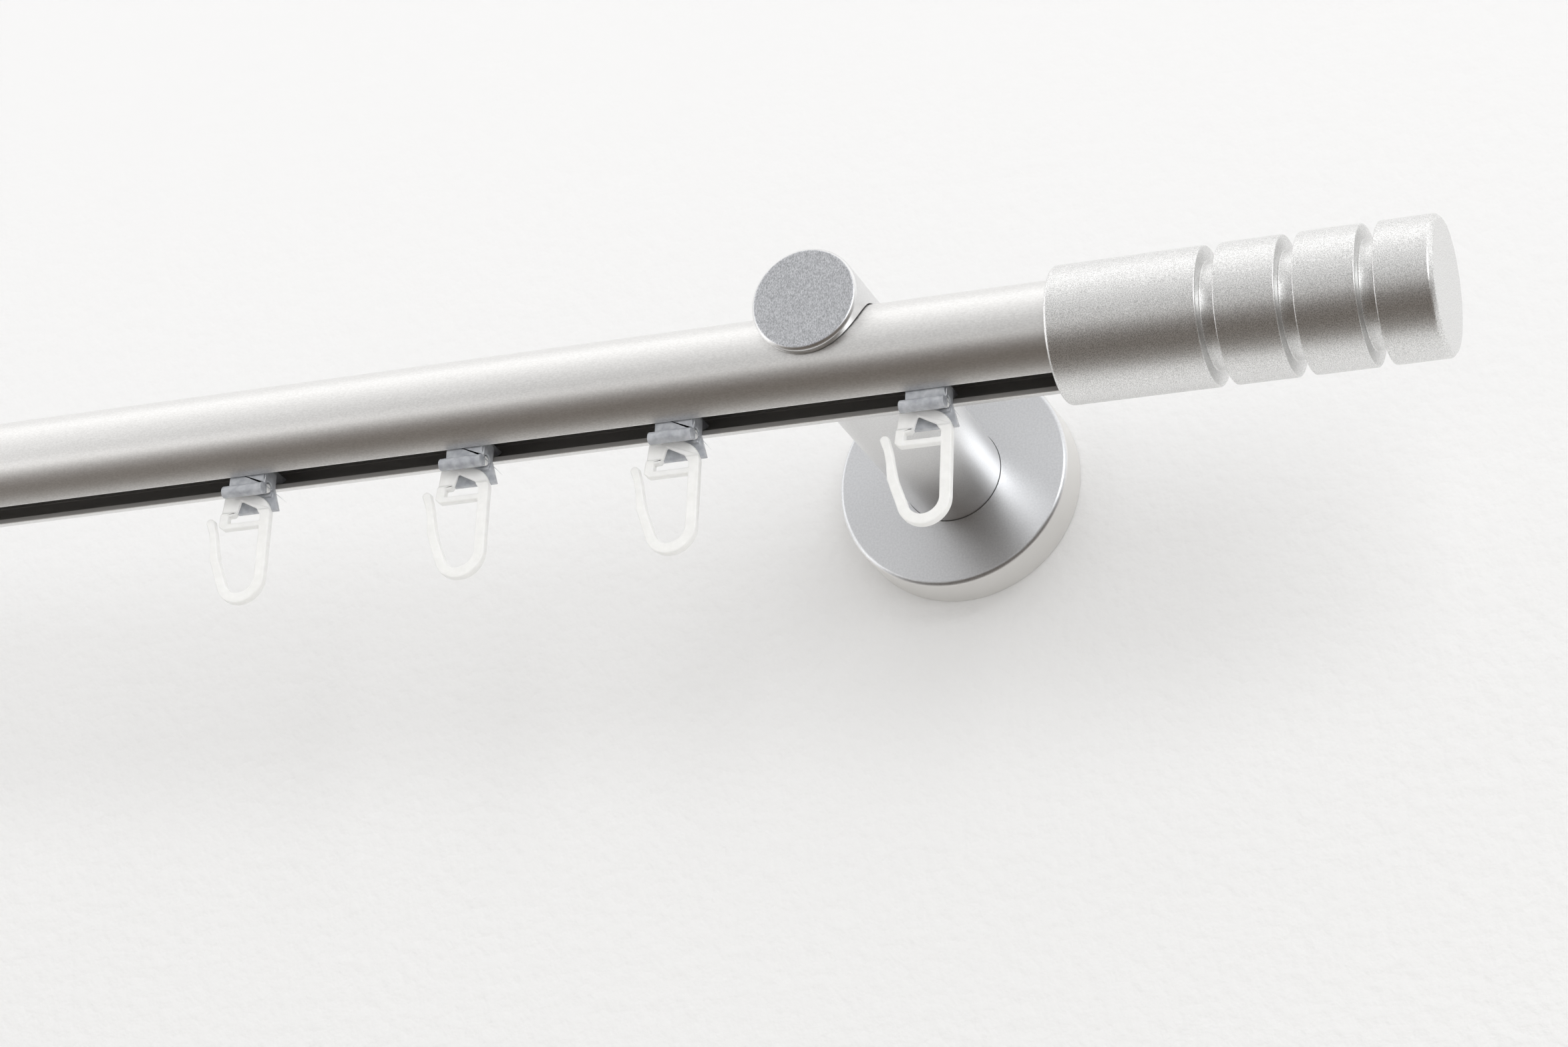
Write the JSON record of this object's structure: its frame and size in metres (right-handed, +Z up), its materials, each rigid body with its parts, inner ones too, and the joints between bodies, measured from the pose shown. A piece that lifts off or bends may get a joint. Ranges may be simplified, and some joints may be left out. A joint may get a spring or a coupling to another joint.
{
  "type": "curtain rod",
  "caption": "Wall-mounted aluminium curtain rod with an inner track, turned end finials, saddle brackets on round bases, and sliding gliders with plastic pleat hooks.",
  "frame": {"origin": "centre of the right wall plate's back face, on the wall", "axes": "+X along the rod to the right-hand finial, +Y into the wall, +Z up"},
  "size_m": [1.0916, 0.0894, 0.0653],
  "materials": {
    "rod_aluminium": "satin anodised",
    "blasted_aluminium": "fine blasted and anodised",
    "bracket_aluminium": "blasted front face, satin side",
    "turned_aluminium": "satin, turned",
    "plate_steel": "zinc plated",
    "screw_steel": "dark plated",
    "glider_plastic": "frosted grey",
    "hook_plastic": "milky white"
  },
  "bodies": {
    "rail": {"track_rod": "rod_aluminium", "finial_right": "blasted_aluminium", "finial_screw_right": "screw_steel", "bracket_stem_right": "bracket_aluminium", "rod_clamp_screw_right": "screw_steel", "stem_screw_right": "screw_steel", "base_cover_right": "turned_aluminium", "wall_plate_right": "plate_steel", "finial_left": "blasted_aluminium", "finial_screw_left": "screw_steel", "bracket_stem_left": "bracket_aluminium", "rod_clamp_screw_left": "screw_steel", "stem_screw_left": "screw_steel", "base_cover_left": "turned_aluminium", "wall_plate_left": "plate_steel"},
    "glider_01_body": {"glider_01": "glider_plastic"},
    "pleat_hook_01_body": {"pleat_hook_01": "hook_plastic"},
    "glider_02_body": {"glider_02": "glider_plastic"},
    "pleat_hook_02_body": {"pleat_hook_02": "hook_plastic"},
    "glider_03_body": {"glider_03": "glider_plastic"},
    "pleat_hook_03_body": {"pleat_hook_03": "hook_plastic"},
    "glider_04_body": {"glider_04": "glider_plastic"},
    "pleat_hook_04_body": {"pleat_hook_04": "hook_plastic"},
    "glider_05_body": {"glider_05": "glider_plastic"},
    "pleat_hook_05_body": {"pleat_hook_05": "hook_plastic"},
    "glider_06_body": {"glider_06": "glider_plastic"},
    "pleat_hook_06_body": {"pleat_hook_06": "hook_plastic"},
    "glider_07_body": {"glider_07": "glider_plastic"},
    "pleat_hook_07_body": {"pleat_hook_07": "hook_plastic"},
    "glider_08_body": {"glider_08": "glider_plastic"},
    "pleat_hook_08_body": {"pleat_hook_08": "hook_plastic"},
    "glider_09_body": {"glider_09": "glider_plastic"},
    "pleat_hook_09_body": {"pleat_hook_09": "hook_plastic"},
    "glider_10_body": {"glider_10": "glider_plastic"},
    "pleat_hook_10_body": {"pleat_hook_10": "hook_plastic"}
  },
  "joints": [
    {"name": "glider_01_slide", "type": "slide", "parent": "rail", "child": "glider_01_body", "axis": [1, 0, 0], "range_m": [-0.0165, 0.0186]},
    {"name": "pleat_hook_01_swing", "type": "hinge", "parent": "glider_01_body", "child": "pleat_hook_01_body", "pos_m": [0.0204, -0.0785, -0.0188], "axis": [1, 0, 0], "range_deg": [-10, 10]},
    {"name": "glider_02_slide", "type": "slide", "parent": "rail", "child": "glider_02_body", "axis": [1, 0, 0], "range_m": [-0.0135, 0.0165]},
    {"name": "pleat_hook_02_swing", "type": "hinge", "parent": "glider_02_body", "child": "pleat_hook_02_body", "pos_m": [-0.0275, -0.0785, -0.0188], "axis": [1, 0, 0], "range_deg": [-10, 10]},
    {"name": "glider_03_slide", "type": "slide", "parent": "rail", "child": "glider_03_body", "axis": [1, 0, 0], "range_m": [-0.0153, 0.0135]},
    {"name": "pleat_hook_03_swing", "type": "hinge", "parent": "glider_03_body", "child": "pleat_hook_03_body", "pos_m": [-0.0693, -0.0785, -0.0188], "axis": [1, 0, 0], "range_deg": [-10, 10]},
    {"name": "glider_04_slide", "type": "slide", "parent": "rail", "child": "glider_04_body", "axis": [1, 0, 0], "range_m": [-0.057, 0.0153]},
    {"name": "pleat_hook_04_swing", "type": "hinge", "parent": "glider_04_body", "child": "pleat_hook_04_body", "pos_m": [-0.1147, -0.0785, -0.0188], "axis": [1, 0, 0], "range_deg": [-10, 10]},
    {"name": "glider_05_slide", "type": "slide", "parent": "rail", "child": "glider_05_body", "axis": [1, 0, 0], "range_m": [-0.057, 0.057]},
    {"name": "pleat_hook_05_swing", "type": "hinge", "parent": "glider_05_body", "child": "pleat_hook_05_body", "pos_m": [-0.24348, -0.0785, -0.0188], "axis": [1, 0, 0], "range_deg": [-10, 10]},
    {"name": "glider_06_slide", "type": "slide", "parent": "rail", "child": "glider_06_body", "axis": [1, 0, 0], "range_m": [-0.057, 0.057]},
    {"name": "pleat_hook_06_swing", "type": "hinge", "parent": "glider_06_body", "child": "pleat_hook_06_body", "pos_m": [-0.37227, -0.0785, -0.0188], "axis": [1, 0, 0], "range_deg": [-10, 10]},
    {"name": "glider_07_slide", "type": "slide", "parent": "rail", "child": "glider_07_body", "axis": [1, 0, 0], "range_m": [-0.057, 0.057]},
    {"name": "pleat_hook_07_swing", "type": "hinge", "parent": "glider_07_body", "child": "pleat_hook_07_body", "pos_m": [-0.50105, -0.0785, -0.0188], "axis": [1, 0, 0], "range_deg": [-10, 10]},
    {"name": "glider_08_slide", "type": "slide", "parent": "rail", "child": "glider_08_body", "axis": [1, 0, 0], "range_m": [-0.057, 0.057]},
    {"name": "pleat_hook_08_swing", "type": "hinge", "parent": "glider_08_body", "child": "pleat_hook_08_body", "pos_m": [-0.62983, -0.0785, -0.0188], "axis": [1, 0, 0], "range_deg": [-10, 10]},
    {"name": "glider_09_slide", "type": "slide", "parent": "rail", "child": "glider_09_body", "axis": [1, 0, 0], "range_m": [-0.057, 0.057]},
    {"name": "pleat_hook_09_swing", "type": "hinge", "parent": "glider_09_body", "child": "pleat_hook_09_body", "pos_m": [-0.75862, -0.0785, -0.0188], "axis": [1, 0, 0], "range_deg": [-10, 10]},
    {"name": "glider_10_slide", "type": "slide", "parent": "rail", "child": "glider_10_body", "axis": [1, 0, 0], "range_m": [-0.0173, 0.057]},
    {"name": "pleat_hook_10_swing", "type": "hinge", "parent": "glider_10_body", "child": "pleat_hook_10_body", "pos_m": [-0.8874, -0.0785, -0.0188], "axis": [1, 0, 0], "range_deg": [-10, 10]}
  ]
}
